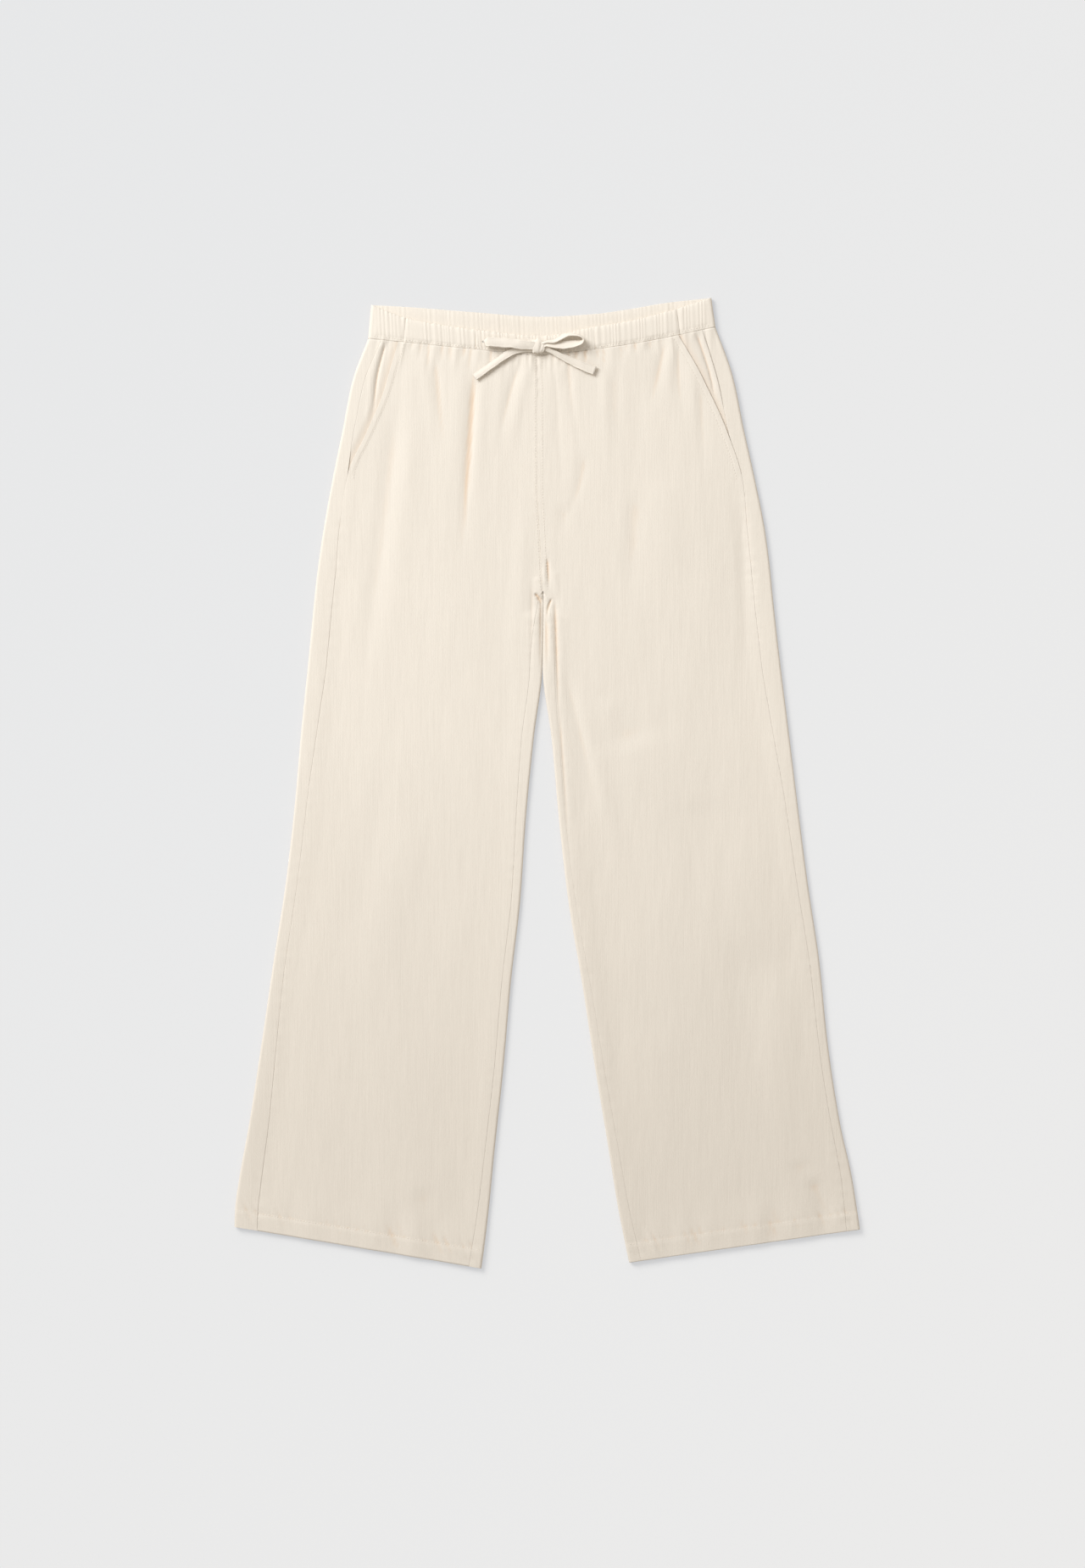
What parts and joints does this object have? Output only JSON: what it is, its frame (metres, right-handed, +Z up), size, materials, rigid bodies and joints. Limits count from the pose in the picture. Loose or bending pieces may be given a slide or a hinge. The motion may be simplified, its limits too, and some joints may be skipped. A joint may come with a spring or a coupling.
{
  "type": "drawstring denim trousers",
  "caption": "Wide-leg ecru denim trousers laid flat, with a gathered elastic waistband, a drawstring tied in a bow, slant side pockets and stitched hems.",
  "frame": {"origin": "on the surface the garment lies on, under the middle of its outline as laid out", "axes": "+Z up out of the front of the garment, +Y towards the waist, +X towards the wearer's left"},
  "size_m": [0.7002, 1.0858, 0.018],
  "materials": {
    "denim": "ecru cotton twill, soft and matt",
    "casing": "ecru cotton twill gathered over elastic",
    "tape": "flat folded tape of the same ecru twill"
  },
  "bodies": {
    "root": {"front_right": "denim", "front_left": "denim", "back_right": "denim", "back_left": "denim", "pocket_facing_right": "denim", "pocket_facing_left": "denim", "waistband_front": "casing", "waistband_back": "casing", "drawstring_loop_right": "tape", "drawstring_tail_right": "tape", "drawstring_loop_left": "tape", "drawstring_tail_left": "tape", "drawstring_knot": "tape"}
  },
  "joints": []
}
